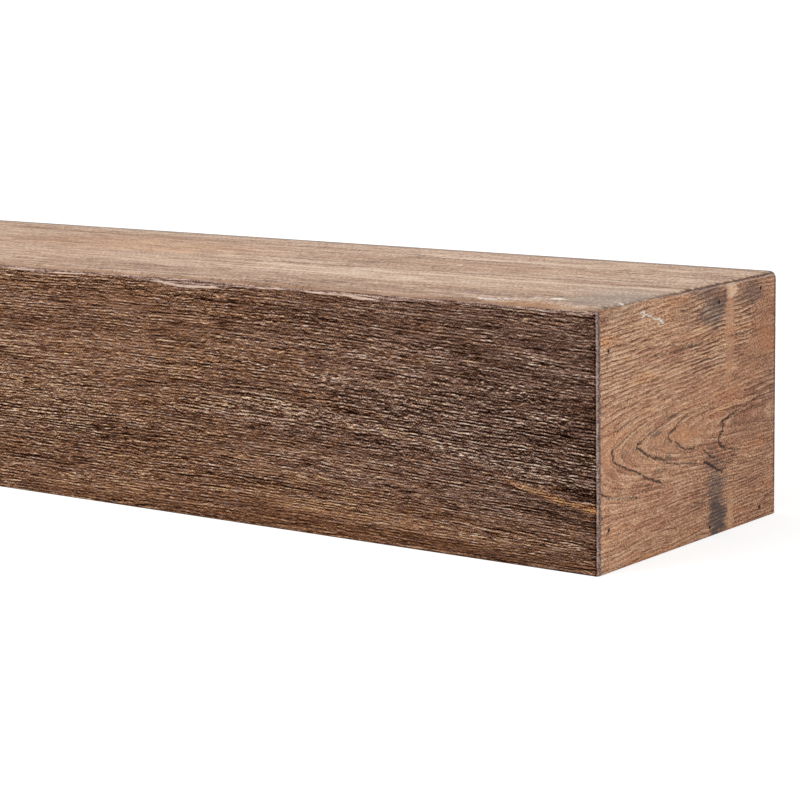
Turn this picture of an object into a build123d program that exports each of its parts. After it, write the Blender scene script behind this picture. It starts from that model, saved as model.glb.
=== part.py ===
# Wood mantel shelf: a hollow box beam, mitred from five boards and pinned with brads.
# The back is open, so that the beam slides over a cleat on the wall.
#
# Millimetres. X runs along the beam, +Y points to the wall and +Z up.
# The origin is the middle of the underside.

import os

from build123d import *

inch = 25.4

# The beam's outer size
beam_length = 48 * inch
beam_depth = 8 * inch
beam_height = 6 * inch

# All five boards are cut from the same stock
board_thickness = 0.75 * inch

# Hand-eased outer edges
top_edge_radius = 4.5
corner_edge_radius = 2.5
bottom_edge_radius = 1.0

# 18 gauge brads, set a little below the surface
brad_length = 1.5 * inch
brad_shank_radius = 0.6
brad_head_radius = 1.0
brad_head_thickness = 0.8
brad_point_length = 2.0
brad_point_radius = 0.15
brad_set_depth = 1.0

# Where the brads stand on an end, from the edges of the board that each one pins.
# The ones in a mitre are a share of the board's thickness from the beam's outside.
front_brad_inset = 0.63 * board_thickness
front_brad_rise = 25.0
top_middle_brad_inset = 0.60 * board_thickness
top_middle_brad_from_back = 69.0
top_back_brad_inset = 0.44 * board_thickness
bottom_middle_brad_inset = 0.30 * board_thickness
bottom_middle_brad_from_back = 79.0
bottom_back_brad_inset = 0.40 * board_thickness
back_brad_from_back = 19.0

# Places that the sizes give
end_x = beam_length / 2
front_y = -beam_depth / 2
back_y = beam_depth / 2

brad_places = {
    "front_upper": (front_y + front_brad_inset, beam_height - front_brad_rise),
    "front_lower": (front_y + front_brad_inset, front_brad_rise),
    "top_middle": (back_y - top_middle_brad_from_back, beam_height - top_middle_brad_inset),
    "top_back": (back_y - back_brad_from_back, beam_height - top_back_brad_inset),
    "bottom_middle": (back_y - bottom_middle_brad_from_back, bottom_middle_brad_inset),
    "bottom_back": (back_y - back_brad_from_back, bottom_back_brad_inset),
}

# The level plane between the top board and the bottom board
mid_height = Plane.XY.offset(beam_height / 2)

# Each mitre plane holds an outer edge of the beam and the inner edge behind it
top_front_mitre = Plane(origin=(0, front_y, beam_height), z_dir=(0, 1, 1))
bottom_front_mitre = Plane(origin=(0, front_y, 0), z_dir=(0, 1, -1))
end_mitres = {
    "right": {
        "top": Plane(origin=(end_x, 0, beam_height), z_dir=(-1, 0, 1)),
        "bottom": Plane(origin=(end_x, 0, 0), z_dir=(-1, 0, -1)),
        "front": Plane(origin=(end_x, front_y, 0), z_dir=(-1, -1, 0)),
    },
    "left": {
        "top": Plane(origin=(-end_x, 0, beam_height), z_dir=(1, 0, 1)),
        "bottom": Plane(origin=(-end_x, 0, 0), z_dir=(1, 0, -1)),
        "front": Plane(origin=(-end_x, front_y, 0), z_dir=(1, -1, 0)),
    },
}


def keep_side(plane, side):
    """Cuts the part in hand with the plane and keeps one side of it."""
    split(bisect_by=plane, keep=side)


# The five glued boards together: a box with eased edges and a pocket from the back
with BuildPart() as shell:
    Box(beam_length, beam_depth, beam_height, align=(Align.CENTER, Align.CENTER, Align.MIN))
    top_edges = shell.faces().sort_by(Axis.Z)[-1].edges()
    fillet(top_edges.sort_by(Axis.Y)[:-1], radius=top_edge_radius)
    front_corners = shell.edges().filter_by(Axis.Z).group_by(Axis.Y)[0]
    fillet(front_corners, radius=corner_edge_radius)
    bottom_edges = shell.faces().sort_by(Axis.Z)[0].edges()
    fillet(bottom_edges.sort_by(Axis.Y)[:-1], radius=bottom_edge_radius)
    with BuildSketch(Plane.XZ.offset(-back_y)):
        with Locations((0, beam_height / 2)):
            Rectangle(beam_length - 2 * board_thickness, beam_height - 2 * board_thickness)
    extrude(amount=beam_depth - board_thickness, mode=Mode.SUBTRACT)

# One brad, driven along -Z with its head's top at the origin
with BuildPart() as brad:
    with BuildSketch(Plane.XZ):
        with BuildLine():
            Polyline(
                (0, 0),
                (brad_head_radius, 0),
                (brad_head_radius, -brad_head_thickness),
                (brad_shank_radius, -brad_head_thickness),
                (brad_shank_radius, brad_point_length - brad_length),
                (brad_point_radius, -brad_length),
                (0, -brad_length),
                close=True,
            )
        make_face()
    revolve(axis=Axis.Z)

# What a driven brad takes out of the boards: its own shape, and the set hole above it
with BuildPart() as brad_hole:
    add(brad.part)
    with BuildSketch():
        Circle(brad_head_radius)
    extrude(amount=brad_set_depth)


def brad_location(side, place):
    """Where a brad's head lies on that end of the beam, pointing into it."""
    y, z = brad_places[place]
    if side == "right":
        return Location((end_x - brad_set_depth, y, z), (0, 90, 0))
    return Location((-end_x + brad_set_depth, y, z), (0, -90, 0))


def cut_brad_holes(sides, places):
    """Takes the brads' holes out of the part in hand."""
    for side in sides:
        for place in places:
            with Locations(brad_location(side, place)):
                add(brad_hole.part, mode=Mode.SUBTRACT)


def save(part, name):
    part.label = name
    export_step(part, f"parts/{name}.step")


both_ends = ("right", "left")
front_brads = ("front_upper", "front_lower")
top_brads = ("top_middle", "top_back")
bottom_brads = ("bottom_middle", "bottom_back")

with BuildPart() as front_board:
    add(shell.part)
    keep_side(top_front_mitre, Keep.BOTTOM)
    keep_side(bottom_front_mitre, Keep.BOTTOM)
    for side in both_ends:
        keep_side(end_mitres[side]["front"], Keep.TOP)
    cut_brad_holes(both_ends, front_brads)

with BuildPart() as top_board:
    add(shell.part)
    keep_side(mid_height, Keep.TOP)
    keep_side(top_front_mitre, Keep.TOP)
    for side in both_ends:
        keep_side(end_mitres[side]["top"], Keep.TOP)
    cut_brad_holes(both_ends, top_brads)

with BuildPart() as bottom_board:
    add(shell.part)
    keep_side(mid_height, Keep.BOTTOM)
    keep_side(bottom_front_mitre, Keep.TOP)
    for side in both_ends:
        keep_side(end_mitres[side]["bottom"], Keep.TOP)
    cut_brad_holes(both_ends, bottom_brads)

end_caps = {}
for side in both_ends:
    with BuildPart() as end_cap:
        add(shell.part)
        for mitre in end_mitres[side].values():
            keep_side(mitre, Keep.BOTTOM)
        cut_brad_holes([side], brad_places)
    end_caps[side] = end_cap

os.makedirs("parts", exist_ok=True)
save(front_board.part, "front_board")
save(top_board.part, "top_board")
save(bottom_board.part, "bottom_board")
for side in both_ends:
    save(end_caps[side].part, f"{side}_end_cap")
    for place in brad_places:
        with BuildPart() as driven_brad:
            with Locations(brad_location(side, place)):
                add(brad.part)
        save(driven_brad.part, f"brad_{side}_{place}")
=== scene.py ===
# Wood mantel shelf: a hollow box beam of five mitred boards, rough-sawn in front and planed elsewhere.
# Metres, with X along the beam, +Y to the wall and +Z up. Boards are worked in millimetres first.
import math
from functools import partial

import bmesh
import bpy
from mathutils import Matrix, Vector, kdtree, noise


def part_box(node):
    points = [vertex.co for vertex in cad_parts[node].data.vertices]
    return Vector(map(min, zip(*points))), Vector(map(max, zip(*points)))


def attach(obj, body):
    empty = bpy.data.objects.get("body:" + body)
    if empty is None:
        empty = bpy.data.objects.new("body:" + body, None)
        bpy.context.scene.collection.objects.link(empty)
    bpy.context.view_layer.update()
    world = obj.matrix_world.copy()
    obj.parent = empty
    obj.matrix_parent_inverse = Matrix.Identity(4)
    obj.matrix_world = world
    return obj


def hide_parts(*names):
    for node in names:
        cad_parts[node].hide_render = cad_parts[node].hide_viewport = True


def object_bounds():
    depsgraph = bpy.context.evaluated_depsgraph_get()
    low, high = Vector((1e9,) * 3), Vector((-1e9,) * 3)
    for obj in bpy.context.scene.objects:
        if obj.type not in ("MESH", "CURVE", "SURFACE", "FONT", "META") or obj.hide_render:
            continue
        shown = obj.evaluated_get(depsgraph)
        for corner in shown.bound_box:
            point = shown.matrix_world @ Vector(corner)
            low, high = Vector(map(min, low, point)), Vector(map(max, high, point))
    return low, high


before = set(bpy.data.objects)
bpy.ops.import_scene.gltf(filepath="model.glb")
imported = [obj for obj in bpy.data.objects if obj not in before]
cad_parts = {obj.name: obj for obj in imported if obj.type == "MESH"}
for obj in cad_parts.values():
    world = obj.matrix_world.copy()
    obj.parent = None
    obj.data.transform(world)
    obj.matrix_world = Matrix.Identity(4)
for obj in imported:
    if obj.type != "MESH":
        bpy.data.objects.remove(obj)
cadLow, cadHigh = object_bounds()
print("frame loaded:", len(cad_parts), "nodes")

mmPerMetre = 1000

# The beam's outer size, read from the frame, and its eased edges
beam = {
    "endX": cadHigh.x * mmPerMetre,
    "frontY": cadLow.y * mmPerMetre,
    "backY": cadHigh.y * mmPerMetre,
    "topZ": cadHigh.z * mmPerMetre,
    "boardThickness": (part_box("front_board")[1].y - cadLow.y) * mmPerMetre,
    "topRadius": 4.5,
    "cornerRadius": 2.5,
    "bottomRadius": 1.0,
}
endX, frontY, backY, topZ = (beam[key] for key in ("endX", "frontY", "backY", "topZ"))

# The camera, matched to the photo's corners and edges
shot = {
    "yaw": 37.178,  # degrees, to the left of straight on
    "pitch": 9.620,  # degrees, down
    "roll": -0.967,
    "focal": 2610.8,  # in pixels of the photo
    "imageSize": 800,
    "sensor": 36.0,  # mm
    "cornerPixel": (597.3, 444.6),  # the middle of the near corner
    "cornerDistance": 1.4593,  # metres in front of the camera
}


def addCamera():
    turn = (
        Matrix.Rotation(math.radians(shot["yaw"]), 3, "Z")
        @ Matrix.Rotation(math.radians(90 - shot["pitch"]), 3, "X")
        @ Matrix.Rotation(math.radians(shot["roll"]), 3, "Z")
    )
    middle = shot["imageSize"] / 2
    across = (shot["cornerPixel"][0] - middle) / shot["focal"]
    down = (shot["cornerPixel"][1] - middle) / shot["focal"]
    ray = turn @ Vector((across, -down, -1))
    corner = Vector((cadHigh.x, cadLow.y, cadHigh.z / 2))
    data = bpy.data.cameras.new("camera")
    data.sensor_width = shot["sensor"]
    data.lens = shot["focal"] / shot["imageSize"] * shot["sensor"]
    data.clip_end = 300
    camera = bpy.data.objects.new("camera", data)
    camera.matrix_world = Matrix.Translation(corner - ray * shot["cornerDistance"]) @ turn.to_4x4()
    bpy.context.scene.collection.objects.link(camera)
    bpy.context.scene.camera = camera


addCamera()
print("camera placed")


# Colours are written as sRGB hex
def linear(hexColour):
    channels = [int(hexColour[i : i + 2], 16) / 255 for i in (1, 3, 5)]
    return [c / 12.92 if c <= 0.04045 else ((c + 0.055) / 1.055) ** 2.4 for c in channels] + [1.0]


# Adds a node, sets or links its inputs, and gives back one of its outputs
def addNode(tree, kind, inputs=None, out=0, stops=None, **settings):
    node = tree.nodes.new("ShaderNode" + kind)
    for key, value in settings.items():
        setattr(node, key, value)
    for key, value in (inputs or {}).items():
        if isinstance(value, bpy.types.NodeSocket):
            tree.links.new(value, node.inputs[key])
        else:
            node.inputs[key].default_value = value
    if stops:
        ramp = node.color_ramp
        while len(ramp.elements) < len(stops):
            ramp.elements.new(0.5)
        for element, (position, hexColour) in zip(ramp.elements, stops):
            element.position = position
            element.color = linear(hexColour)
    return node.outputs[out] if node.outputs else node


# Makes a material of the shader that a function builds. It gets addNode, bound to the new tree.
def newMaterial(name, shaderOf, *values):
    material = bpy.data.materials.new(name)
    material.use_nodes = True
    material.node_tree.nodes.clear()
    add = partial(addNode, material.node_tree)
    add("OutputMaterial", {"Surface": shaderOf(add, *values)})
    return material


# The studio: a pale floor and an even white room with one large soft lamp
studio = {
    "floorSize": 240.0,  # metres
    "floorColour": "#e6e6e6",
    "floorGlow": 0.74,  # what a seen floor adds to its shading, so that it comes out white
    "floorShade": "#b0b0b0",  # what a seen floor keeps of its shading, the shadow
    "roomLevel": 0.70,
    "lampPower": 62.0,
    "lampSize": 1.8,
    "lampPlace": (-0.9, -2.2, 2.6),
    "lampAim": (0.3, 0.0, 0.1),
}


# 1 for what the camera sees, also in a gloss or through glass
def seenDirectly(add):
    camera = add("LightPath", out="Is Camera Ray")
    glossy = add("LightPath", out="Is Glossy Ray")
    through = add("LightPath", out="Is Transmission Ray")
    either = add("Math", {0: camera, 1: glossy}, operation="MAXIMUM")
    return add("Math", {0: either, 1: through}, operation="MAXIMUM")


# Matt and even. Where it is seen, also in reflections, it glows up to white and keeps the shadow.
def whiteFloor(add):
    plain = add("BsdfDiffuse", {"Color": linear(studio["floorColour"])})
    glow = add("Emission", {"Color": linear("#ffffff"), "Strength": studio["floorGlow"]})
    shade = add("BsdfDiffuse", {"Color": linear(studio["floorShade"])})
    seen = add("AddShader", {0: glow, 1: shade})
    return add("MixShader", {0: seenDirectly(add), 1: plain, 2: seen})


def addStudio():
    scene = bpy.context.scene
    scene.view_settings.view_transform = "Standard"
    world = bpy.data.worlds.new("room")
    world.use_nodes = True
    scene.world = world
    world.node_tree.nodes.clear()
    add = partial(addNode, world.node_tree)
    strength = add("MapRange", {"Value": seenDirectly(add), "To Min": studio["roomLevel"]})
    light = add("Background", {"Color": linear("#ffffff"), "Strength": strength})
    add("OutputWorld", {"Surface": light})

    bm = bmesh.new()
    bmesh.ops.create_grid(bm, x_segments=1, y_segments=1, size=studio["floorSize"] / 2)
    mesh = bpy.data.meshes.new("floor")
    bm.to_mesh(mesh)
    bm.free()
    floor = bpy.data.objects.new("floor", mesh)
    scene.collection.objects.link(floor)
    mesh.materials.append(newMaterial("matt white floor", whiteFloor))

    lamp = bpy.data.lights.new("soft lamp", "AREA")
    lamp.energy = studio["lampPower"]
    lamp.size = studio["lampSize"]
    holder = bpy.data.objects.new("soft lamp", lamp)
    place, aim = Vector(studio["lampPlace"]), Vector(studio["lampAim"])
    turn = (aim - place).to_track_quat("-Z", "Y")
    holder.matrix_world = Matrix.Translation(place) @ turn.to_matrix().to_4x4()
    scene.collection.objects.link(holder)


addStudio()
print("studio set")


# Small helpers for shapes that fade in and out
def smooth(low, high, value):
    share = min(max((value - low) / (high - low), 0.0), 1.0)
    return share * share * (3 - 2 * share)


def mixed(low, high, share):
    return low + (high - low) * share


def clamp(value, low=0.0, high=1.0):
    return min(max(value, low), high)


# A soft line across a measure, 1 at its middle and about a third at its half width
def bell(value, middle, half):
    return math.exp(-(((value - middle) / half) ** 2))


# Noise whose blobs are about as long as the given millimetres, between -1 and 1
def grain(point, x, y, z, seed=0.0):
    return noise.noise(Vector((point.x / x + seed, point.y / y - seed, point.z / z + 2 * seed)))


# Noise along one measure, in the same way
def ripple(value, size, seed, row=0):
    return noise.noise(Vector((value / size, seed, row)))


# A soft oval patch, 1 at its middle and 0 from its edge on. Noise, its blobs 9 mm long and 3.5 mm
# high, breaks up the outline where it is ragged.
def patch(a, b, middleA, middleB, halfA, halfB, ragged=0.0):
    away = math.hypot((a - middleA) / halfA, (b - middleB) / halfB)
    if ragged:
        away += ragged * noise.noise(Vector((a / 9, b / 3.5, middleA)))
    return 1 - smooth(0.35, 1.0, away)


# The sum of a list of patches at a place, each with its middle, half sizes and amount. Patches that
# end well before the place are passed over.
def spots(patches, a, b, ragged):
    total = 0.0
    for middleA, middleB, halfA, halfB, amount in patches:
        if abs(a - middleA) < 1.3 * halfA and abs(b - middleB) < 1.3 * halfB:
            total += amount * patch(a, b, middleA, middleB, halfA, halfB, ragged)
    return total


# The strongest of such patches at a place
def strongest(patches, a, b, ragged):
    return max([0.0] + [amount * patch(a, b, *place, ragged) for *place, amount in patches])


# 1 on a line through the points, and 0 from the half width on
def nearLine(a, b, points, half):
    place, closest = Vector((a, b)), half
    for start, end in zip(points, points[1:]):
        start, end = Vector(start), Vector(end)
        share = clamp((place - start).dot(end - start) / (end - start).length_squared)
        closest = min(closest, (place - start.lerp(end, share)).length)
    return 1 - smooth(0.3, 1.0, closest / half)


# The easing grows from the crisp bottom edges to the well-worn top ones
def edgeRadius(z):
    lower = mixed(beam["bottomRadius"], beam["cornerRadius"], smooth(1.0, 9.0, z))
    return mixed(lower, beam["topRadius"], smooth(topZ - 14.0, topZ - 5.0, z))


# Where a point of the sharp box lies once the edges are eased, and which way is out
def easedShell(sharp):
    radius = edgeRadius(sharp.z)
    inner = Vector((
        clamp(sharp.x, radius - endX, endX - radius),
        max(sharp.y, frontY + radius),
        clamp(sharp.z, radius, topZ - radius),
    ))
    outward = (sharp - inner).normalized()
    return inner + outward * radius, outward


# The edge between the front and the top is worn unevenly, and both boards share its line
edgeWear = {
    "least": 0.15,
    "most": 1.3,
    "pitch": 42.0,  # the length of a long dip
    "finePitch": 9.0,
    "reach": 8.0,
    "endFade": 16.0,
}


def wornDepth(sharp):
    away = max(topZ - sharp.z, sharp.y - frontY)
    if away > edgeWear["reach"]:
        return 0.0
    share = 0.5 + 0.9 * ripple(sharp.x, edgeWear["pitch"], 4.7)
    share += 0.25 * ripple(sharp.x, edgeWear["finePitch"], 1.3)
    depth = mixed(edgeWear["least"], edgeWear["most"], clamp(share))
    near = 1 - smooth(0.5, edgeWear["reach"], away)
    return depth * near * smooth(0.0, edgeWear["endFade"], endX - abs(sharp.x))


# A share of the way along is turned to millimetres, finer where the stops lie close
def spread(share, stops):
    for (share0, place0), (share1, place1) in zip(stops, stops[1:]):
        if share <= share1:
            return mixed(place0, place1, (share - share0) / (share1 - share0))
    return stops[-1][1]


# Around a brad's hole the grid is cut finer: how far from its middle, and how often each edge
finer = {"reach": 2.4, "cuts": 3}


# A blank board: its outer face is a fine grid, its rim is mitred where asked, and its back is one face.
# "along" and "across" give the spacing on the outer face. "mitres" are the low and high side of each.
# "marks" are the values that its points carry to the material.
def startBoard(blank, faceToBeam, finePoints=()):
    bm = bmesh.new()
    for name in blank["marks"]:
        bm.verts.layers.float.new(name)
    bmesh.ops.create_grid(bm, x_segments=blank["columns"], y_segments=blank["rows"], size=0.5)
    for vert in bm.verts:
        vert.co.x = spread(vert.co.x + 0.5, blank["along"])
        vert.co.y = spread(vert.co.y + 0.5, blank["across"])
    for a, b in finePoints:
        middle = Vector((a, b, 0))
        close = [face for face in bm.faces if (face.calc_center_median() - middle).length < finer["reach"]]
        edges = {edge for face in close for edge in face.edges}
        bmesh.ops.subdivide_edges(bm, edges=list(edges), cuts=finer["cuts"], use_grid_fill=True)
    outerVerts, outerFaces = bm.verts[:], set(bm.faces)
    rim = [edge for edge in bm.edges if edge.is_boundary]
    drawn = bmesh.ops.extrude_edge_only(bm, edges=rim)["geom"]
    depth = beam["boardThickness"]
    for vert in (item for item in drawn if isinstance(item, bmesh.types.BMVert)):
        for axis, key in enumerate(("along", "across")):
            low, high = blank[key][0][1], blank[key][-1][1]
            lowMitre, highMitre = blank["mitres"][key]
            share = (vert.co[axis] - low) / (high - low)
            vert.co[axis] = mixed(low + depth * lowMitre, high - depth * highMitre, share)
        vert.co.z = depth
    bmesh.ops.edgeloop_fill(bm, edges=[edge for edge in bm.edges if edge.is_boundary])
    for face in bm.faces:
        face.smooth = face in outerFaces
        face.material_index = 0 if face in outerFaces else 1
    bmesh.ops.transform(bm, matrix=faceToBeam, verts=bm.verts)
    return bm, outerVerts, [bm.verts.layers.float[name] for name in blank["marks"]]


# Turns a worked board to metres and puts it in place of its plain one
def finishBoard(bm, name, node, materials):
    bmesh.ops.scale(bm, vec=(1 / mmPerMetre,) * 3, verts=bm.verts)
    bmesh.ops.recalc_face_normals(bm, faces=bm.faces)
    mesh = bpy.data.meshes.new(name)
    bm.to_mesh(mesh)
    bm.free()
    for material in materials:
        mesh.materials.append(material)
    piece = bpy.data.objects.new(name, mesh)
    bpy.context.scene.collection.objects.link(piece)
    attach(piece, "root")
    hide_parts(node)
    mesh.calc_loop_triangles()
    print(name, "made:", len(mesh.loop_triangles), "triangles")


# Columns are the directions along the face, across it and into the board
def faceMatrix(along, across, inward, start):
    matrix = Matrix((along, across, inward)).transposed().to_4x4()
    matrix.translation = start
    return matrix


# The front board. Its rough cut starts a little below the top edge, along a wavy line.
frontBoard = {
    "blank": {
        "columns": 500,
        "rows": 168,
        "along": [(0, -endX), (0.016, 4 - endX), (0.984, endX - 4), (1, endX)],
        "across": [(0, 0.0), (1, topZ)],
        "mitres": {"along": (1, 1), "across": (1, 1)},
        "marks": ("groove", "smoothEdge", "crest", "tone", "bite", "torn", "warm", "honey", "drop"),
    },
    "lineBelowTop": 2.9,
    # From the right end, half width, drop
    "lineDips": [(155, 26, 1.6), (302, 34, 3.0), (425, 22, 1.2), (40, 30, 0.8)],
    "lineRagged": 0.45,
    "lineRaggedPitch": 21.0,
    # Where the line is rubbed pale: from the right end, half length, strength
    "crests": [(182, 34, 0.9), (236, 16, 0.6), (302, 30, 0.9), (420, 70, 0.4), (800, 300, 0.5)],
    "crestHalf": 0.65,  # half the width of that pale line
    # How deep the sawing went: everywhere, in its ridges, and in long slow hollows
    "cutDepth": 0.45,
    "ridgeDepth": 0.36,
    "slowDepth": 0.35,
    "wander": 1.6,  # how far the ridges wander up and down
    # Towards the right end the grain runs downhill, and the saw's streaks follow it in part
    "grainDrop": 36.0,
    "dropFrom": 290.0,
    "streakDrop": 0.3,
    # From the right end, height along the grain, half length, half height, lighter or darker
    "tones": [
        (45, 114, 130, 24, -0.35), (10, 100, 60, 30, -0.2), (90, 92, 120, 8, -0.25),
        (205, 90, 110, 5, -0.45), (180, 76, 140, 4, -0.35), (150, 68, 100, 4, -0.3),
        (10, 80, 34, 5, -1.0), (220, 141, 100, 4, -0.45), (70, 139, 80, 4, -0.35),
        (60, 127, 70, 4, -0.35), (24, 62, 46, 8, -0.4), (30, 55, 60, 5, -0.35),
        (160, 21, 180, 11, 0.7), (60, 40, 60, 8, 0.3), (190, 46, 130, 20, 0.3),
        (160, 83, 80, 3, 0.35), (230, 71, 70, 4, 0.3), (240, 116, 130, 14, 0.15),
        (400, 98, 150, 22, 0.4), (430, 72, 110, 10, 0.25), (400, 130, 140, 12, 0.2),
        (430, 116, 80, 3, -0.35), (400, 46, 110, 14, -0.35), (430, 24, 70, 6, -0.5),
        (380, 13, 90, 8, 0.45), (310, 88, 70, 3, -0.35), (640, 104, 150, 18, -0.45),
        (700, 132, 180, 10, 0.35), (760, 62, 170, 16, 0.4), (690, 24, 190, 12, -0.4),
        (930, 112, 160, 22, 0.3), (980, 78, 140, 7, -0.5), (900, 34, 170, 12, 0.35),
        (1090, 128, 130, 14, -0.45), (1120, 50, 130, 20, -0.35), (1150, 92, 90, 10, 0.4),
        (1060, 14, 150, 10, 0.35),
    ],
    # The same for how deep and sharp the grooves look
    "bites": [
        (70, 96, 170, 26, 0.3), (220, 78, 120, 16, 0.25), (420, 56, 120, 26, 0.25),
        (200, 8, 340, 16, -0.25), (110, 165, 240, 34, -0.15), (400, 118, 150, 30, -0.1),
        (720, 84, 170, 26, 0.25), (1080, 70, 150, 30, 0.25),
    ],
    # The same for clusters of torn pale fibres
    "torn": [
        (192, 106, 26, 4, 1.0), (110, 138, 18, 3, 0.9), (40, 146, 26, 4, 0.8),
        (62, 127, 36, 5, 0.9), (205, 82, 60, 6, 0.8), (30, 118, 26, 5, 0.9),
        (105, 84, 40, 5, 0.7), (52, 84, 18, 4, 0.9), (30, 28, 30, 5, 0.8),
        (84, 22, 22, 3, 0.9), (52, 14, 16, 3, 0.8), (400, 14, 26, 4, 0.9),
        (347, 22, 22, 4, 0.8), (300, 72, 60, 6, 0.5), (420, 78, 60, 8, 0.4),
        (250, 104, 50, 5, 0.6), (150, 126, 60, 5, 0.5), (640, 66, 60, 6, 0.7),
        (760, 112, 50, 5, 0.8), (880, 48, 50, 5, 0.7), (990, 96, 60, 6, 0.8),
        (1110, 74, 50, 5, 0.8), (1140, 24, 40, 5, 0.7),
    ],
    "honey": [(66, 49.5), (47, 45.2), (24, 40.6), (0, 38.0)],  # from the right end, height
    "honeyHalf": 2.8,
    "cornerDark": 1.2,  # half the width of the dark line beside each upright corner
}


def roughLine(x):
    fromEnd = endX - x
    below = frontBoard["lineBelowTop"]
    for middle, half, drop in frontBoard["lineDips"]:
        below += drop * bell(fromEnd, middle, half)
    return below + frontBoard["lineRagged"] * ripple(x, frontBoard["lineRaggedPitch"], 8.1)


# How far the grain has come down at a place
def grainDrop(fromEnd, z):
    share = max(0.0, 1 - fromEnd / frontBoard["dropFrom"])
    drop = frontBoard["grainDrop"] * share**1.3
    return drop * smooth(-10, 50, z) * mixed(1.0, 0.8, smooth(90, 140, z))


def workFront(verts, layers):
    groove, smoothEdge, crest, tone, bite, torn, warm, honey, drop = layers
    for vert in verts:
        sharp = vert.co.copy()
        fromEnd, fromCorner = endX - sharp.x, endX - abs(sharp.x)
        shell, outward = easedShell(sharp)
        belowLine = (topZ - sharp.z) - roughLine(sharp.x)
        rough = smooth(-0.2, 1.1, belowLine) * smooth(0.2, 1.4, sharp.z) * smooth(0.5, 1.5, fromCorner)

        # The saw's ridges follow the grain in part
        bent = sharp.copy()
        bent.z += grainDrop(fromEnd, sharp.z)
        alongGrain = bent.z
        bent.z = mixed(sharp.z, alongGrain, frontBoard["streakDrop"])
        vert[drop] = bent.z - sharp.z
        wander = frontBoard["wander"] * grain(sharp, 60, 1, 22, 3.1)
        bent.z += wander
        ridge = 0.62 * grain(bent, 24, 1, 2.4, 1.7) + 0.38 * grain(bent, 9, 1, 1.7, 5.3)
        ridge = clamp(0.5 + 0.95 * ridge)
        slow = clamp(0.5 + 0.8 * grain(sharp, 95, 1, 26, 7.9))
        depth = frontBoard["cutDepth"] + frontBoard["ridgeDepth"] * ridge + frontBoard["slowDepth"] * slow
        depth = depth * rough + wornDepth(sharp) * (1 - 0.5 * rough)
        vert.co = shell - outward * depth

        vert[groove] = ridge * rough
        vert[smoothEdge] = 1 - smooth(-0.5, 0.9, belowLine + 0.5 * grain(sharp, 7, 1, 2, 2.2))

        # Pale where the rough cut's upper edge is rubbed, and a painted highlight along the upright corners
        worn = 0.12 + 0.6 * grain(sharp, 26, 1, 9, 6.4)
        for middle, half, amount in frontBoard["crests"]:
            worn += amount * (1 - smooth(0.5, 1.0, abs(fromEnd - middle) / half))
        cornerLit = clamp(0.36 + 0.35 * grain(sharp, 1, 1, 9, 2.8)) * (1 - smooth(0.2, 1.0, fromCorner))
        vert[crest] = max(clamp(worn) * bell(belowLine, 0.1, frontBoard["crestHalf"]), cornerLit)

        # Lighter away from the right end, darker beside the corners, and streaked along the grain
        bent.z = alongGrain + wander
        value = 0.16 * smooth(150, 420, fromEnd) - 0.4 * (1 - smooth(2, 14, fromCorner))
        value += spots(frontBoard["tones"], fromEnd, alongGrain, 0.25)
        value += 0.30 * grain(bent, 120, 1, 5, 4.4) + 0.15 * grain(bent, 60, 1, 2.5, 9.2)
        value -= 0.8 * patch(fromCorner, 0, 1.5, 0, frontBoard["cornerDark"], 1)
        vert[tone] = value
        sharpness = 0.95 + spots(frontBoard["bites"], fromEnd, alongGrain, 0.25)
        vert[bite] = sharpness + 0.2 * grain(bent, 60, 1, 9, 7.3)
        vert[torn] = spots(frontBoard["torn"], fromEnd, alongGrain, 0.4)

        # Warmer away from the right end and low down, and honey-coloured along one streak
        vert[warm] = 0.85 * smooth(0, 330, fromEnd)
        vert[warm] += (0.9 - 0.8 * smooth(120, 350, fromEnd)) * (1 - smooth(6, 50, sharp.z))
        vert[warm] += 0.2 * grain(bent, 120, 1, 9, 6.6)
        bentHeight = sharp.z + 1.5 * grain(sharp, 9, 1, 3, 1.1)
        streak = nearLine(fromEnd, bentHeight, frontBoard["honey"], frontBoard["honeyHalf"])
        vert[honey] = streak * mixed(1.0, 0.4, smooth(20, 66, fromEnd))


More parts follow.
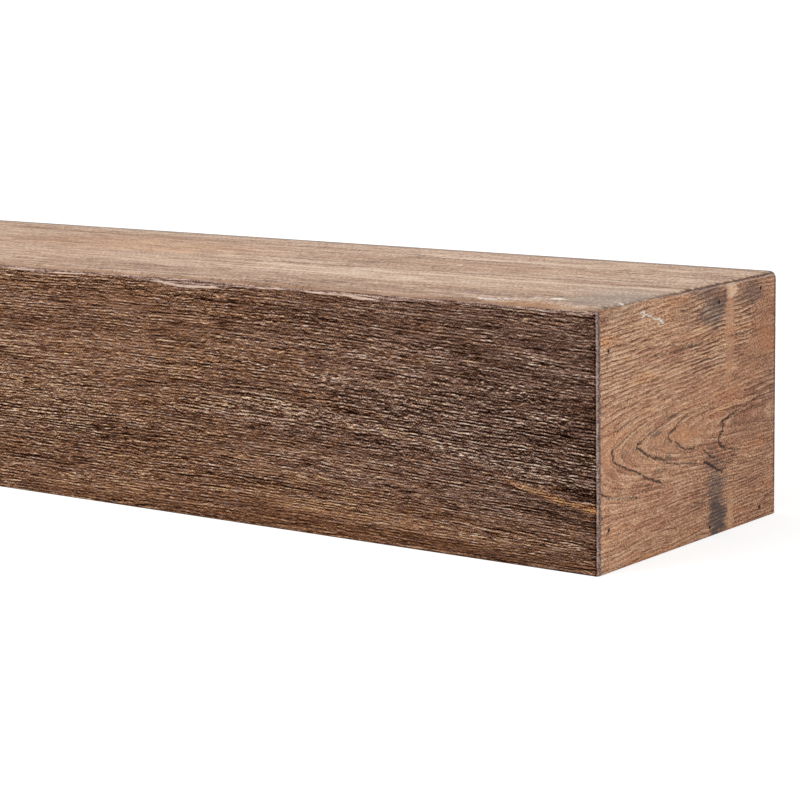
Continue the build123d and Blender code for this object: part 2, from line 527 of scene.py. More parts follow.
# The top board: planed and sanded, with pale bands along the grain and a scuffed front corner
topBoard = {
    "blank": {
        "columns": 406,
        "rows": 100,
        "along": [(0, -endX), (0.02, 6 - endX), (0.98, endX - 6), (1, endX)],
        "across": [(0, frontY), (0.15, frontY + 12), (1, backY)],
        "mitres": {"along": (1, 1), "across": (1, 0)},
        "marks": ("pale", "tan", "grey", "scuff", "brown"),
    },
    # From the right end, behind the front, half length, half width, paler or darker
    "bands": [
        (175, 70, 200, 26, 0.4), (297, 74, 22, 22, 0.6), (250, 60, 60, 16, 0.25),
        (400, 64, 130, 18, 0.4), (340, 132, 34, 16, 0.55), (430, 122, 120, 44, 0.45),
        (110, 136, 34, 10, 0.5), (160, 178, 160, 16, 0.4), (40, 136, 28, 14, 0.4),
        (230, 115, 120, 16, -0.3), (230, 148, 110, 9, -0.35), (45, 112, 60, 10, -0.45),
        (240, 24, 360, 30, -0.45), (90, 34, 60, 18, -0.35), (260, 8, 300, 8, -0.3),
        (700, 60, 260, 26, 0.5), (850, 120, 260, 24, -0.35), (1000, 160, 240, 14, 0.5),
        (950, 30, 250, 24, -0.35), (660, 170, 200, 14, -0.3),
    ],
    # A dark growth line and the pale wood beside it: points, half width, paler or darker
    "growthLines": [
        ([(620, 176), (480, 173), (330, 174), (290, 170), (250, 167), (200, 160), (60, 159)], 5.0, -0.55),
        ([(350, 173), (318, 173)], 7.0, -0.8),
        ([(225, 168), (190, 166), (140, 165), (90, 163)], 4.5, 1.5),
        ([(320, 83), (250, 84), (150, 87), (60, 89), (0, 91)], 4.0, 1.3),
        ([(240, 93), (180, 95), (90, 97)], 3.5, 0.9),
        ([(300, 95), (250, 98), (150, 101), (0, 103)], 3.5, -0.8),
        ([(330, 61), (290, 60), (240, 62), (170, 66)], 3.5, 0.6),
        ([(200, 76), (60, 78)], 3.0, -0.35),
        ([(100, 110), (10, 109)], 4.0, 0.3),
        ([(345, 163), (250, 160)], 5.0, 0.3),
    ],
    # As the bands, for places of a warmer tan and of grey
    "tans": [
        (470, 128, 170, 56, 0.5), (130, 145, 90, 30, 0.1), (46, 5, 30, 7, 0.6),
        (900, 90, 240, 40, 0.25),
    ],
    "greys": [(8, 38, 46, 36, 1.0), (24, 72, 56, 30, 0.35), (90, 30, 60, 16, 0.2)],
    # The same, without an amount
    "scuffs": [
        (70, 14, 14, 6),
        (78, 8, 12, 4),
        (43, 27, 10, 6),
        (57, 25, 8, 4),
        (2, 29, 3, 4),
        (190, 134, 3, 7),
    ],
    "brownEdge": 9.0,  # behind the front, where the stain of the front has crept over
    "hollow": 0.05,  # how deep the plane left its long hollows
}


def workTop(verts, layers):
    pale, tan, grey, scuff, brown = layers
    for vert in verts:
        sharp = vert.co.copy()
        fromEnd, fromCorner, behind = endX - sharp.x, endX - abs(sharp.x), sharp.y - frontY
        shell, outward = easedShell(sharp)
        depth = topBoard["hollow"] * (1 + grain(sharp, 160, 7, 1, 3.3)) + wornDepth(sharp)
        depth *= smooth(0, 3, fromCorner) * mixed(1, smooth(0, 2, backY - sharp.y), 0.8)
        vert.co = shell - outward * depth
        value = spots(topBoard["bands"], fromEnd, behind, 0.2)
        wavy = behind + 3.0 * grain(sharp, 60, 1, 1, 6.2)
        for points, half, amount in topBoard["growthLines"]:
            if points[-1][0] - half < fromEnd < points[0][0] + half:
                value += amount * nearLine(fromEnd, wavy, points, half)
        # Its edges at the ends and the back are dark thin lines
        value -= bell(fromCorner, 0.8, 0.9) * mixed(1.0, 3.0, smooth(50, 120, behind))
        value -= 2.5 * smooth(199.0, 201.5, behind)
        vert[pale] = value + 0.25 * grain(sharp, 420, 11, 1, 8.8) + 0.20 * grain(sharp, 90, 6, 1, 2.6)
        vert[tan] = spots(topBoard["tans"], fromEnd, behind, 0.25)
        vert[grey] = spots(topBoard["greys"], fromEnd, behind, 0.4)
        vert[grey] += 0.5 * smooth(193, 199, behind + 2 * grain(sharp, 20, 1, 1, 3.4))
        vert[scuff] = max(patch(fromEnd, behind, *place, 0.5) for place in topBoard["scuffs"])
        crept = topBoard["brownEdge"] * (0.75 + 0.5 * grain(sharp, 55, 1, 1, 5.7))
        vert[brown] = 1 - smooth(0.2, 1.0, behind / crept)


# The end caps. Places on them are millimetres behind the front and above the underside.
endCap = {
    "blank": {
        "columns": 400,
        "rows": 214,
        "along": [(0, frontY), (1, backY)],
        "across": [(0, 0.0), (0.155, 34.0), (0.77, 90.0), (0.955, 147.0), (1, topZ)],
        "mitres": {"along": (1, 0), "across": (1, 1)},
        "marks": ("rings", "relief", "line", "cut", "stain", "corner", "crest", "pale", "paint", "hole"),
    },
    # The growth rings are arches about one level, which close up towards the front
    "archLevel": 67.0,
    "archHalf": 36.0,  # how far above and below it they reach
    "tilt": 0.06,  # how the straight rings beyond them rise towards the back
    "tiltAbout": 60.0,  # behind the front, where they start to
    "crowding": 5.0,  # how much closer the rings stand near the level, and how far from it
    "crowdingHalf": 9.0,
    # The arches' tips: the first behind the front, how many follow, and how they thin out
    "firstTip": 16.0,
    "ringsGained": 7.4,
    "gainLength": 82.0,
    # The tree's pith lies this far in, and the larger the spread, the closer the rings
    "pithDepth": 77.0,
    "ringSpread": 5818.0,
    # How far the rings wander in long and in short bends, and how deep each is sanded out
    "bend": 1.4,
    "fineBend": 0.45,
    "ringDip": 0.06,
    "hollow": 0.04,  # how deep the sander left its long hollows
    "brads": [(12.0, 127.4), (134.2, 140.97), (184.2, 144.02), (12.0, 25.0), (124.2, 5.72), (184.2, 7.62)],
    "bradHole": 1.0,  # radius and depth
}

# What the photo shows on the right end, in the same millimetres
rightMarks = {
    # Cracks along the rings: points, half width, darkness, depth
    "lines": [
        ([(53, 81.5), (45, 80), (34, 76.5), (25, 73), (20, 71.2), (16, 70.4)], 0.42, 0.65, 0.25),
        ([(16, 70.4), (15.2, 68.5), (17, 66.5), (16.5, 64), (18, 62.5)], 0.75, 0.95, 0.5),
        ([(18, 62.5), (27, 59), (33, 56.5), (40, 54), (45, 52), (51, 49), (57, 46.5)], 0.5, 0.9, 0.4),
        ([(57, 46.5), (62, 45), (67, 43.3)], 0.8, 0.9, 0.4),
        ([(70, 77), (60, 74.5), (50, 72), (46, 70.5), (42, 69)], 0.45, 0.6, 0.25),
        ([(46, 70), (42.5, 69.3), (41.6, 67.6), (45, 66), (50, 63)], 0.85, 0.95, 0.5),
        ([(50, 63), (55, 60.5), (60, 59), (65, 57.6), (69, 56.6), (73, 55)], 0.8, 0.9, 0.45),
        ([(73, 55), (77, 53), (82, 52), (87, 50.3), (95, 49.5), (108, 47.8)], 0.45, 0.75, 0.3),
        ([(98, 78.5), (91, 76.3), (87, 74.8)], 0.45, 0.6, 0.2),
        (
            [(88, 75.3), (84.5, 72.8), (80, 71), (77.2, 70), (76.2, 68.3), (77.2, 66.6), (80, 65.6)],
            0.75, 0.85, 0.45,
        ),
        ([(84, 64.6), (87.5, 62.6), (90, 60.6), (93.5, 59), (98, 58), (106, 57)], 0.55, 0.8, 0.35),
        (
            [(186, 77.6), (180, 77), (176, 76.2), (170, 75), (165, 73.6), (158, 72.5), (152, 71.5)],
            0.45, 0.75, 0.3,
        ),
        ([(152, 71.5), (147, 70.4), (142, 69.1), (138, 68.4)], 0.7, 0.95, 0.5),
        (
            [
                (139, 68.4), (140, 65.5), (139, 62.7), (136, 60.6),
                (134.6, 58.8), (135, 56), (137, 53.6), (140.5, 52),
            ],
            0.9, 0.95, 0.6,
        ),
        ([(140.5, 52), (146, 50.6), (152, 49.6), (160, 48)], 0.4, 0.7, 0.25),
        ([(117, 54), (120, 52), (124, 49.6), (130, 47.5)], 0.6, 0.75, 0.35),
        ([(117, 46.8), (122, 45), (126, 43), (130, 41), (135, 39), (139, 37.8)], 0.75, 1.0, 0.6),
        ([(132, 45.5), (140, 43.2), (148, 41.2)], 0.45, 0.6, 0.25),
        ([(3, 47.5), (10, 44.2), (20, 41.5), (30, 40.2), (42, 39)], 0.45, 0.65, 0.2),
        ([(3, 79), (12, 79.7), (22, 81.2), (32, 83.6), (44, 86)], 0.4, 0.55, 0.15),
        ([(60, 118), (90, 118.8), (130, 119.6), (165, 119.3), (203, 118.6)], 0.4, 0.6, 0.15),
        ([(150, 102.6), (175, 102.8), (203, 102)], 0.35, 0.5, 0.12),
    ],
    # Grey-brown stain: behind the front, height, half length, half height, strength
    "stains": [
        (133, 10, 15, 19, 1.25), (132, 26, 15, 22, 0.9), (126, 45, 13, 12, 0.55),
        (127, 138, 20, 15, 0.9), (141, 143, 2.5, 10, 0.9), (120, 149, 24, 9, 0.6),
        (172, 143, 21, 9, 0.75), (100, 140, 20, 12, 0.25), (62, 73, 8, 3.0, 0.6),
        (76, 57, 7, 3.0, 0.55), (87, 62, 5, 3.2, 0.55), (150, 67, 6, 2.6, 0.45),
        (64, 50, 9, 3.0, 0.35), (43, 45, 5, 2.4, 0.35), (28, 65.5, 5, 2.6, 0.3),
        (80, 80, 12, 2.6, 0.4), (110, 22, 14, 5, 0.3), (61, 26.4, 3.0, 1.3, 0.7),
        (21, 46, 1.6, 2.4, 0.5), (24, 149, 30, 8, 0.3), (11, 124, 2.0, 2.6, 0.6),
        (11, 22.5, 2.0, 2.6, 0.6), (193, 70, 14, 40, 0.25), (204, 76, 3.2, 110, 0.8),
        (176, 60, 26, 12, 0.22),
    ],
    # The same for pale places
    "pales": [
        (149.5, 150, 8.5, 14, 2.2), (147.5, 134, 7, 28, 0.5), (147, 108, 9, 34, 0.35),
        (148.5, 8, 6, 22, 0.75), (96, 64, 14, 7, 0.35), (110, 59, 8, 3, 0.35),
        (175, 45, 22, 6, 0.2),
    ],
    # Specks of white paint: points, half width
    "paint": [
        ([(46, 145.5), (49.5, 145.5), (49, 142.5), (46.5, 142)], 1.1),
        ([(50, 144), (57, 141.5), (63, 139)], 1.0),
        ([(61, 139.5), (68, 138.5), (71, 136.5), (65, 137)], 1.1),
    ],
    # The same as the stains, for how strongly the rings show
    "reliefs": [
        (35, 118, 60, 34, 0.35), (122, 120, 36, 26, 0.75), (166, 126, 15, 16, 0.6),
        (182, 104, 34, 16, -0.5), (192, 128, 14, 26, -0.45), (147, 122, 7, 40, -1.4),
        (148, 8, 6, 22, -0.8), (90, 65, 22, 8, -0.5), (172, 60, 34, 18, -0.35),
        (40, 20, 60, 20, -0.15), (45, 66, 52, 22, -0.35), (4, 66, 22, 26, -0.45),
        (100, 66, 34, 14, -0.3), (140, 90, 60, 12, -0.25),
    ],
    "palerFront": 0.4,  # how much paler the front half is
    "darkFront": 3.5,  # the width of the band beside the front corner
}

# The other end is out of the photo and has only its rings, arches and brads
leftMarks = {
    "lines": [
        ([(60, 84), (44, 80), (33, 76), (27, 71.5), (31, 66), (44, 60), (64, 53), (88, 47)], 0.5, 0.7, 0.35),
        ([(112, 82), (92, 76.5), (74, 71.5), (68, 67.5), (74, 63.5), (92, 57.5), (118, 51)], 0.55, 0.8, 0.4),
        ([(180, 79), (152, 74), (128, 69.5), (122, 66), (129, 61.5), (150, 57)], 0.5, 0.7, 0.35),
    ],
    "stains": [(60, 120, 26, 14, 0.3), (150, 30, 30, 12, 0.3)],
    "pales": [(100, 100, 40, 12, 0.25)],
    "paint": [],
    "reliefs": [(60, 120, 60, 30, 0.4), (150, 30, 50, 20, -0.3)],
    "palerFront": 0.2,
    "darkFront": 3.0,
}


# Counts the growth rings at a place, so that each whole number is one dark line
def ringCount(behind, height):
    rise = height - endCap["archLevel"]
    near = bell(rise, 0, endCap["archHalf"])
    rise -= endCap["tilt"] * (behind - endCap["tiltAbout"]) * (1 - near)
    rise += endCap["crowding"] * math.tanh(rise / endCap["crowdingHalf"])
    reach = mixed(endCap["tiltAbout"], behind, near)
    gained = endCap["ringsGained"] * (1 - math.exp((endCap["firstTip"] - reach) / endCap["gainLength"]))
    tip = 1 / endCap["pithDepth"] + gained / endCap["ringSpread"]
    return -endCap["ringSpread"] / math.hypot(rise, 1 / tip)


# How far apart a line's points are worked, and how far its edge fades out
scoring = {"step": 0.25, "soft": 0.35}


# Spreads a scored line over the vertices near it
def scoreLine(tree, verts, layer, points, half, strength):
    for start, end in zip(points, points[1:]):
        start, end = Vector((*start, 0)), Vector((*end, 0))
        steps = max(int((end - start).length / scoring["step"]), 1)
        for step in range(steps + 1):
            place = start.lerp(end, step / steps)
            width = half * (1.0 + 0.9 * noise.noise(place * 0.7 + Vector((9, 0, 0))))
            place.y += 0.7 * noise.noise(place * 0.4) + 0.5 * noise.noise(place * 0.9)
            for _, index, away in tree.find_range(place, width + scoring["soft"]):
                value = strength * (1 - smooth(width * 0.4, width + scoring["soft"], away))
                verts[index][layer] = max(verts[index][layer], value)


def workEnd(verts, layers, marks, seed):
    rings, relief, line, cut, stain, corner, crest, pale, paint, hole = layers
    tree = kdtree.KDTree(len(verts))
    flat = [Vector((vert.co.y - frontY, vert.co.z, 0)) for vert in verts]
    for index, place in enumerate(flat):
        tree.insert(place, index)
    tree.balance()
    for points, half, darkness, depth in marks["lines"]:
        scoreLine(tree, verts, line, points, half, darkness)
        scoreLine(tree, verts, cut, points, half, depth)
    for points, half in marks["paint"]:
        scoreLine(tree, verts, paint, points, half, 1.0)

    holeRadius = endCap["bradHole"]
    for vert, place in zip(verts, flat):
        sharp = vert.co.copy()
        behind, height = place.x, place.y
        shell, outward = easedShell(sharp)
        bend = endCap["bend"] * noise.noise(Vector((behind / 38, height / 16, seed)))
        bend += endCap["fineBend"] * noise.noise(Vector((behind / 11, height / 5, seed + 3)))
        count = ringCount(behind, height + bend)
        vert[rings] = count + seed
        vert[pale] = strongest(marks["pales"], behind, height, 0.2)
        vert[pale] += marks["palerFront"] * (1 - smooth(30, 150, behind)) - 0.2 * smooth(120, 190, behind)
        vert[relief] = max(0.75 + spots(marks["reliefs"], behind, height, 0.2), 0.1)

        # A thin dark outline at the back and the top, and a pale painted highlight under the top's edge
        outline = smooth(200.6, 202.2, behind) * smooth(4, 30, height)
        outline = max(outline, smooth(0.9, 0.3, topZ - height) * smooth(40, 110, behind))
        vert[stain] = max(strongest(marks["stains"], behind, height, 0.45), 1.3 * outline)
        topLit = clamp(0.8 + 0.8 * ripple(behind, 14, seed, 6)) * bell(topZ - height, 1.7, 0.7)
        topLit *= smooth(60, 110, behind)

        # The band beside the front corner, a pale painted highlight along its edge, and a dotted dark line in
        # it
        band = marks["darkFront"] + ripple(height, 3, seed) + 1.2 * ripple(height, 1.1, seed)
        vert[corner] = 1 - smooth(band - 0.7, band + 0.7, behind)
        frontLit = 0.75 + 0.8 * ripple(height, 9, seed, 4) + 0.5 * ripple(height, 1.6, seed, 4)
        vert[crest] = max(clamp(frontLit) * bell(behind, 0.5, 0.6), topLit)
        dotted = clamp(0.7 + 1.4 * ripple(height, 1.3, seed, 8))
        vert[line] = max(vert[line], 0.8 * dotted * bell(behind - band, -0.9, 0.6))

        away = min(math.hypot(behind - a, height - b) for a, b in endCap["brads"])
        sunk = 1 - smooth(holeRadius - 0.25, holeRadius + 0.05, away)
        vert[hole] = 1 - smooth(0.8 * holeRadius, 1.5 * holeRadius, away)
        ringDip = endCap["ringDip"] * (0.5 + 0.5 * math.cos(2 * math.pi * count))
        depth = ringDip + vert[cut] + endCap["hollow"] * (1 + grain(sharp, 1, 25, 6, seed))
        depth *= smooth(0.3, 2.0, behind) * smooth(0.3, 2.0, topZ - height) * smooth(0.3, 2.0, height)
        vert.co = shell - outward * (depth + sunk * holeRadius)


def scaleOf(x, y, z):
    return (mmPerMetre / x, mmPerMetre / y, mmPerMetre / z)


# The length and width of the bare wood's grain, on the long boards and on the ends
bareGrain = {"boards": (110, 6, 6), "ends": (6, 110, 6)}


# Pine, planed and left bare inside: pale, with faint even lines along the grain
def bareWood(add, size):
    coords = add("TexCoord", out="Object")
    place = add("Mapping", {"Vector": coords, "Scale": scaleOf(*size)})
    lines = add("TexNoise", {"Vector": place, "Scale": 1.0, "Detail": 4.0, "Distortion": 0.4})
    colour = add("ValToRGB", {0: lines}, stops=[(0.32, "#b48e63"), (0.5, "#cfaa7e"), (0.68, "#e2c397")])
    bump = add("Bump", {"Height": lines, "Strength": 0.5, "Distance": 0.0002})
    return add("BsdfPrincipled", {"Base Color": colour, "Roughness": 0.75, "Normal": bump})


# Mixes colours in one after the other, each through its own mask
def layerColours(add, colour, layers):
    for mask, hexOrSocket, blendType in layers:
        over = linear(hexOrSocket) if isinstance(hexOrSocket, str) else hexOrSocket
        sockets = {0: mask, 6: colour, 7: over}
        colour = add("Mix", sockets, out=2, data_type="RGBA", blend_type=blendType)
    return colour


# Noise in a material, its blobs about as long as the given millimetres
def field(add, coords, size, detail=2.0, out=0):
    place = add("Mapping", {"Vector": coords, "Scale": scaleOf(*size)})
    return add("TexNoise", {"Vector": place, "Scale": 1.0, "Detail": detail}, out=out)


# Coordinates pushed about by noise: its blobs' size and the most it pushes, both in millimetres
def wavered(add, coords, size, push):
    shift = field(add, coords, size, out="Color")
    shift = add("VectorMath", {0: shift, 1: (0.5, 0.5, 0.5)}, operation="SUBTRACT")
    metres = tuple(2 * amount / mmPerMetre for amount in push)
    shift = add("VectorMath", {0: shift, 1: metres}, operation="MULTIPLY")
    return add("VectorMath", {0: coords, 1: shift}, operation="ADD")


# A level of about a half: each part adds its weight times its distance from its average
def weighed(add, parts):
    total = 0.5 - sum(weight * average for _, weight, average in parts)
    for value, weight, _ in parts:
        total = add("Math", {0: value, 1: weight, 2: total}, operation="MULTIPLY_ADD")
    return total


# How far a level stands from a half, times a strength
def swing(add, level, strength):
    level = add("Math", {0: level, 1: 0.5}, operation="SUBTRACT")
    return add("Math", {0: level, 1: strength}, operation="MULTIPLY")


# Thin lines where a noise passes its middle
def thinLines(add, value, half):
    away = add("Math", {0: value, 1: 0.5}, operation="SUBTRACT")
    away = add("Math", {0: away}, operation="ABSOLUTE")
    return add("MapRange", {"Value": away, "From Max": half, "To Min": 1.0, "To Max": 0.0})


# The sawn wood's grooves lie this far apart, and its shading comes from this far above: millimetres
sawn = {"grooveSpacing": 1.9, "shadingFrom": 1.05}


# How high the torn fibres of the sawn wood stand, about a half on average, and the short ones alone
def tornFibres(add, coords):
    height = add("SeparateXYZ", {0: coords}, out="Z")
    perMetre = 2 * math.pi * mmPerMetre / sawn["grooveSpacing"]
    turns = add("Math", {0: height, 1: perMetre}, operation="MULTIPLY")
    comb = add("Math", {0: turns}, operation="SINE")
    fibres = field(add, coords, (4.2, 0.5, 0.5), 1.0)
    streaks = weighed(add, [
        (field(add, coords, (60.0, 0.8, 0.8), 1.0), 0.40, 0.5),
        (field(add, coords, (17.0, 0.7, 0.7), 1.0), 0.70, 0.5),
        (fibres, 0.60, 0.5),
        (field(add, coords, (0.8, 0.5, 0.5), 1.0), 0.95, 0.5),
        (comb, 0.06, 0.0),
    ])
    return streaks, fibres


# Pine, band-sawn rough and brushed, then stained dark: torn fibres leave short pale ridges
# between dark grooves about two millimetres apart, with painted shade under each fibre as if lit from above.
def sawnWood(add):
    marks = frontBoard["blank"]["marks"]
    mark = {name: add("Attribute", out="Fac", attribute_name=name) for name in marks}

    # The streaks follow the grain downhill and waver
    coords = add("TexCoord", out="Object")
    split = add("SeparateXYZ", {0: coords}, out="X").node
    sockets = {0: mark["drop"], 1: 1 / mmPerMetre, 2: split.outputs["Z"]}
    lifted = add("Math", sockets, operation="MULTIPLY_ADD")
    coords = add("CombineXYZ", {0: split.outputs["X"], 1: split.outputs["Y"], 2: lifted})
    bent = wavered(add, coords, (150, 45, 45), (2.0, 2.0, 2.0))
    bent = wavered(add, bent, (50, 12, 12), (1.0, 1.0, 1.0))
    bent = wavered(add, bent, (18, 5, 5), (0.6, 0.6, 0.6))

    # Each fibre is shaded by what stands above it, and thin dark cuts run between them here and there
    above = (0, 0, sawn["shadingFrom"] / mmPerMetre)
    higher = add("VectorMath", {0: bent, 1: above}, operation="ADD")
    streaks, fibres = tornFibres(add, bent)
    shading, _ = tornFibres(add, higher)
    streaks = weighed(add, [(streaks, 1.0, 0.5), (shading, -0.5, 0.5)])
    flecks = add("MapRange", {"Value": fibres, "From Min": 0.56, "From Max": 0.72})
    cuts = thinLines(add, field(add, bent, (34, 1.3, 1.3), 1.0), 0.05)
    cutHere = field(add, coords, (25, 5, 5))
    cutHere = add("MapRange", {"Value": cutHere, "From Min": 0.40, "From Max": 0.56})
    cuts = add("Math", {0: cuts, 1: cutHere}, operation="MULTIPLY")
    bitten = weighed(add, [(streaks, 1.0, 0.5), (flecks, 0.15, 0.1), (cuts, -0.30, 0.13)])
    tornHere = add("Math", {0: flecks, 1: mark["torn"]}, operation="MULTIPLY")
    # Deeper grooves get a little painted shade
    level = weighed(add, [
        (swing(add, bitten, mark["bite"]), 1.0, 0.0),
        (tornHere, 0.45, 0.05),
        (mark["groove"], -0.05, 0.5),
        (mark["tone"], 0.14, 0.0),
        (mark["honey"], 0.12, 0.0),
    ])
    colour = add("ValToRGB", {0: level}, stops=[
        (0.20, "#150a06"),
        (0.35, "#342018"),
        (0.50, "#644a3e"),
        (0.64, "#8a6b5c"),
        (0.80, "#b89b8a"),
        (0.95, "#ebd8c9"),
    ])

    # Warmer and greyer places, the honey streak, the smooth edge over the rough cut, its rubbed line and the
    # corners' painted highlight
    hue = field(add, coords, (40, 3.0, 3.0), 3.0)
    tint = field(add, bent, (3.5, 0.55, 0.55), 1.0)
    ochre = weighed(add, [(hue, 0.7, 0.55), (tint, 2.6, 0.5), (mark["warm"], 0.5, 0.45)])
    ochre = add("MapRange", {"Value": ochre, "From Min": 0.2, "From Max": 1.0})
    greyed = weighed(add, [(hue, -0.9, 0.5), (tint, -2.9, 0.5)])
    greyed = add("MapRange", {"Value": greyed, "From Min": 0.5, "From Max": 1.1, "To Max": 0.6})
    honey = add("MapRange", {"Value": streaks, "From Min": 0.38, "From Max": 0.64})
    honey = add("Math", {0: honey, 1: mark["honey"]}, operation="MULTIPLY")
    honeyStops = [(0.3, "#4a2616"), (0.55, "#a0602f"), (0.85, "#e8b070")]
    honeyColour = add("ValToRGB", {0: level}, stops=honeyStops)
    smoothEdge = weighed(add, [(mark["smoothEdge"], 1.0, 0.5), (streaks, 0.7, 0.5)])
    smoothEdge = add("MapRange", {"Value": smoothEdge, "From Min": 0.3, "From Max": 0.75})
    edgeColour = add("ValToRGB", {0: streaks}, stops=[
        (0.3, "#4b3730"),
        (0.48, "#7d6154"),
        (0.62, "#a88a7b"),
        (0.75, "#cfb5a6"),
    ])
    crest = add("Math", {0: mark["crest"], 1: fibres}, operation="MULTIPLY")
    crest = add("MapRange", {"Value": crest, "From Min": 0.08, "From Max": 0.28})
    colour = layerColours(add, colour, [
        (ochre, "#c9b38f", "OVERLAY"),
        (greyed, "#b9b8bd", "OVERLAY"),
        (honey, honeyColour, "MIX"),
        (smoothEdge, edgeColour, "MIX"),
        (crest, "#e2c4b1", "MIX"),
    ])

    # Only the pale fibres shine a little
    shine = add("MapRange", {"Value": level, "From Min": 0.4, "From Max": 0.8, "To Max": 0.25})
    flatter = add("MapRange", {"Value": smoothEdge, "To Min": 0.8, "To Max": 0.25})
    bump = add("Bump", {"Height": streaks, "Strength": flatter, "Distance": 0.0006})
    look = {"Base Color": colour, "Roughness": 0.75, "Specular IOR Level": shine, "Normal": bump}
    return add("BsdfPrincipled", look)


# Pine, planed and rubbed with the same stain, then dry-brushed: low in contrast, and a little fuzzy
def planedWood(add, light, middle, dark, shade, roughness, stainedTo=None):
    marks = topBoard["blank"]["marks"]
    mark = {name: add("Attribute", out="Fac", attribute_name=name) for name in marks}
    coords = add("TexCoord", out="Object")
    bent = wavered(add, coords, (160, 30, 30), (5, 3, 3))
    bands = field(add, bent, (400, 17, 17))
    lines = field(add, bent, (110, 4.5, 4.5))
    fibres = field(add, bent, (22, 3.0, 3.0), 1.0)
    fuzz = field(add, bent, (1.0, 3.0, 3.0), 1.0)
    level = weighed(add, [
        (bands, 0.25, 0.5),
        (lines, 0.75, 0.5),
        (fibres, 1.0, 0.5),
        (fuzz, 1.6, 0.5),
        (mark["pale"], 0.26, 0.0),
    ])
    colour = add("ValToRGB", {0: level}, stops=[
        (0.0, shade),
        (0.12, dark),
        (0.5, middle),
        (0.9, light),
    ])

    # Tan and grey places, the brown crept over from the front, and pale scuffs
    warm = field(add, bent, (260, 22, 22))
    warm = add("MapRange", {"Value": warm, "From Min": 0.45, "From Max": 0.65, "To Max": 0.25})
    grey = add("MapRange", {"Value": fuzz, "From Min": 0.3, "From Max": 0.7, "To Min": 1.6, "To Max": 0.0})
    grey = add("Math", {0: mark["grey"], 1: grey}, operation="MULTIPLY", use_clamp=True)
    scuff = weighed(add, [(fuzz, 1.3, 0.5), (fibres, 1.2, 0.5)])
    scuff = add("Math", {0: scuff, 1: mark["scuff"]}, operation="MULTIPLY")
    scuff = add("MapRange", {"Value": scuff, "From Min": 0.25, "From Max": 0.55})
    brown = add("Math", {0: mark["brown"], 1: fuzz}, operation="MULTIPLY")
    brown = add("MapRange", {"Value": brown, "From Min": 0.2, "From Max": 0.6, "To Max": 0.8})
    colour = layerColours(add, colour, [
        (warm, "#97805f", "OVERLAY"),
        (mark["tan"], "#96805e", "OVERLAY"),
        (brown, "#8c674c", "MIX"),
        (grey, "#8f7f73", "MIX"),
        (scuff, "#ece0d5", "MIX"),
    ])
    bump = add("Bump", {"Height": level, "Strength": 0.5, "Distance": 0.0005})
    look = {"Base Color": colour, "Roughness": roughness, "Specular IOR Level": 0.3, "Normal": bump}
    shader = add("BsdfPrincipled", look)
    if stainedTo:
        height = add("SeparateXYZ", {0: coords}, out="Z")
        inside = add("Math", {0: height, 1: stainedTo / mmPerMetre}, operation="GREATER_THAN")
        bare = bareWood(add, bareGrain["boards"])
        shader = add("MixShader", {0: inside, 1: shader, 2: bare})
    return shader


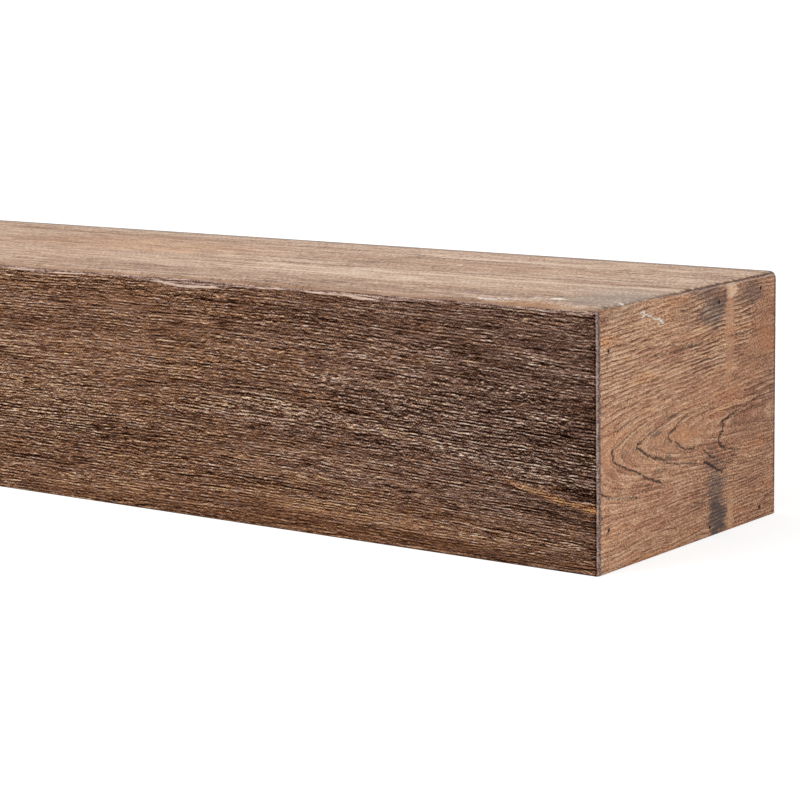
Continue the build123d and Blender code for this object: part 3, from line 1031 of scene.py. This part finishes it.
# Pine across the end, sanded and stained brown. The lines follow the growth rings, some sharp
# and dark and others faint, with fine specks of fibre between them.
def endWood(add):
    marks = [name for name in endCap["blank"]["marks"] if name != "cut"]  # that one is in the shape
    mark = {name: add("Attribute", out="Fac", attribute_name=name) for name in marks}
    coords = add("TexCoord", out="Object")
    specks = field(add, coords, (0.7, 1.0, 0.65), 1.0)
    clouds = field(add, coords, (14, 40, 9), 3.0)
    along = add("SeparateXYZ", {0: coords}, out="Y")

    # Across the rings these count in rings, and along them in millimetres
    ringPlace = add("CombineXYZ", {"X": mark["rings"], "Y": along})
    lines = add("Mapping", {"Vector": ringPlace, "Scale": (1.5, mmPerMetre / 29.412, 1)})
    lines = add("TexNoise", {"Vector": lines, "Scale": 1.0, "Detail": 3.0, "Roughness": 0.6})
    hairs = add("Mapping", {"Vector": ringPlace, "Scale": (4.5, mmPerMetre / 11.111, 1)})
    hairs = add("TexNoise", {"Vector": hairs, "Scale": 1.0, "Detail": 1.0})

    # Each ring pales slowly and ends in one dark line
    shifted = add("Math", {0: specks, 1: 0.3, 2: mark["rings"]}, operation="MULTIPLY_ADD")
    share = add("Math", {0: shifted}, operation="FRACT")
    saw = add("ValToRGB", {0: share}, stops=[
        (0.0, "#ffffff"),
        (0.5, "#bcbcbc"),
        (0.84, "#303030"),
        (0.93, "#000000"),
        (1.0, "#ffffff"),
    ])
    lined = weighed(add, [(lines, 1.15, 0.5), (hairs, 1.05, 0.5), (saw, 0.42, 0.5)])
    lined = swing(add, lined, mark["relief"])
    speckled = add("MapRange", {"Value": mark["relief"], "From Min": 0.1, "To Min": 0.65, "To Max": 1.1})
    level = weighed(add, [
        (lined, 1.0, 0.0),
        (swing(add, specks, speckled), 1.8, 0.0),
        (clouds, 0.3, 0.5),
        (mark["pale"], 0.22, 0.0),
    ])
    colour = add("ValToRGB", {0: level}, stops=[
        (0.05, "#4e2e1e"),
        (0.28, "#8c6045"),
        (0.48, "#bd8969"),
        (0.70, "#dcab87"),
        (0.95, "#f5d6b6"),
    ])

    # Warm and cool clouds, the stain, the dark front corner, the painted highlights along the front corner
    # and under the top edge, cracks, paint and the brads' holes
    warm = add("MapRange", {"Value": clouds, "From Min": 0.5, "From Max": 0.7, "To Max": 0.45})
    cool = add("MapRange", {"Value": clouds, "From Min": 0.47, "From Max": 0.3, "To Max": 0.4})
    stain = weighed(add, [(lined, -1.2, 0.0), (specks, -1.5, 0.5)])
    stain = add("MapRange", {"Value": stain, "From Min": 0.1, "From Max": 0.9, "To Min": 0.5, "To Max": 1.2})
    stain = add("Math", {0: mark["stain"], 1: stain}, operation="MULTIPLY", use_clamp=True)
    corner = add("ValToRGB", {0: specks}, stops=[
        (0.38, "#553f3b"),
        (0.50, "#8c7068"),
        (0.64, "#b89b90"),
    ])
    crest = add("MapRange", {"Value": specks, "From Min": 0.36, "From Max": 0.6, "To Min": 0.2})
    crest = add("Math", {0: mark["crest"], 1: crest}, operation="MULTIPLY")
    crack = add("MapRange", {"Value": specks, "From Min": 0.3, "From Max": 0.6, "To Min": 1.5, "To Max": 0.7})
    crack = add("Math", {0: mark["line"], 1: crack}, operation="MULTIPLY", use_clamp=True)
    paint = add("Math", {0: mark["paint"], 1: specks}, operation="MULTIPLY")
    paint = add("MapRange", {"Value": paint, "From Min": 0.32, "From Max": 0.50})
    colour = layerColours(add, colour, [
        (warm, "#9c7c50", "OVERLAY"),
        (cool, "#80777a", "OVERLAY"),
        (stain, "#5a4a46", "MIX"),
        (mark["corner"], corner, "MIX"),
        (crest, "#d6bbae", "MIX"),
        (crack, "#2c1b14", "MIX"),
        (paint, "#fff8f0", "MIX"),
        (mark["hole"], "#120b09", "MIX"),
    ])
    bump = add("Bump", {"Height": level, "Strength": 0.5, "Distance": 0.0003})
    look = {"Base Color": colour, "Roughness": 0.65, "Specular IOR Level": 0.2, "Normal": bump}
    return add("BsdfPrincipled", look)


# Steel wire, drawn and blackened: dark, with brown specks of rust
def bradSteel(add):
    coords = add("TexCoord", out="Object")
    rust = field(add, coords, (0.5, 0.5, 0.5), 3.0)
    colour = add("ValToRGB", {0: rust}, stops=[(0.4, "#2a2523"), (0.65, "#5a4034")])
    return add("BsdfPrincipled", {"Base Color": colour, "Metallic": 0.7, "Roughness": 0.55})


# Four colours from light to dark, then the roughness. The underside is stained half a millimetre deep.
topColours = ("#dfc7b0", "#ba987f", "#87644b", "#5a4236", 0.62)
underColours = ("#b08a6b", "#84624b", "#55402f", "#3d2d21", 0.7, 0.5)
frontFinish = newMaterial("rough-sawn stained pine", sawnWood)
topFinish = newMaterial("planed stained pine", planedWood, *topColours)
underFinish = newMaterial("planed stained pine underside", planedWood, *underColours)
endFinish = newMaterial("sanded stained pine", endWood)
bare = newMaterial("bare planed pine", bareWood, bareGrain["boards"])
endBare = newMaterial("bare planed pine end", bareWood, bareGrain["ends"])
wire = newMaterial("blackened steel wire", bradSteel)

upright, level, deep = (0, 0, 1), (1, 0, 0), (0, 1, 0)
toFront = faceMatrix(level, upright, deep, (0, frontY, 0))
bm, outer, layers = startBoard(frontBoard["blank"], toFront)
workFront(outer, layers)
finishBoard(bm, "rough_front_board", "front_board", [frontFinish, bare])

toTop = faceMatrix(level, deep, (0, 0, -1), (0, 0, topZ))
bm, outer, layers = startBoard(topBoard["blank"], toTop)
workTop(outer, layers)
finishBoard(bm, "smooth_top_board", "top_board", [topFinish, bare])

bradPlaces = [(frontY + behind, height) for behind, height in endCap["brads"]]
for side, sign, marks, seed in (("right", 1, rightMarks, 0.0), ("left", -1, leftMarks, 11.5)):
    toEnd = faceMatrix(deep, upright, (-sign, 0, 0), (sign * endX, 0, 0))
    bm, outer, layers = startBoard(endCap["blank"], toEnd, bradPlaces)
    workEnd(outer, layers, marks, seed)
    finishBoard(bm, f"grained_{side}_end", f"{side}_end_cap", [endFinish, endBare])

# The underside and the brads keep their own shapes and get their finishes
for name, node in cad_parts.items():
    if name == "bottom_board":
        node.data.materials.clear()
        node.data.materials.append(underFinish)
    elif name.startswith("brad_"):
        node.data.materials.clear()
        node.data.materials.append(wire)
print("finishes set")
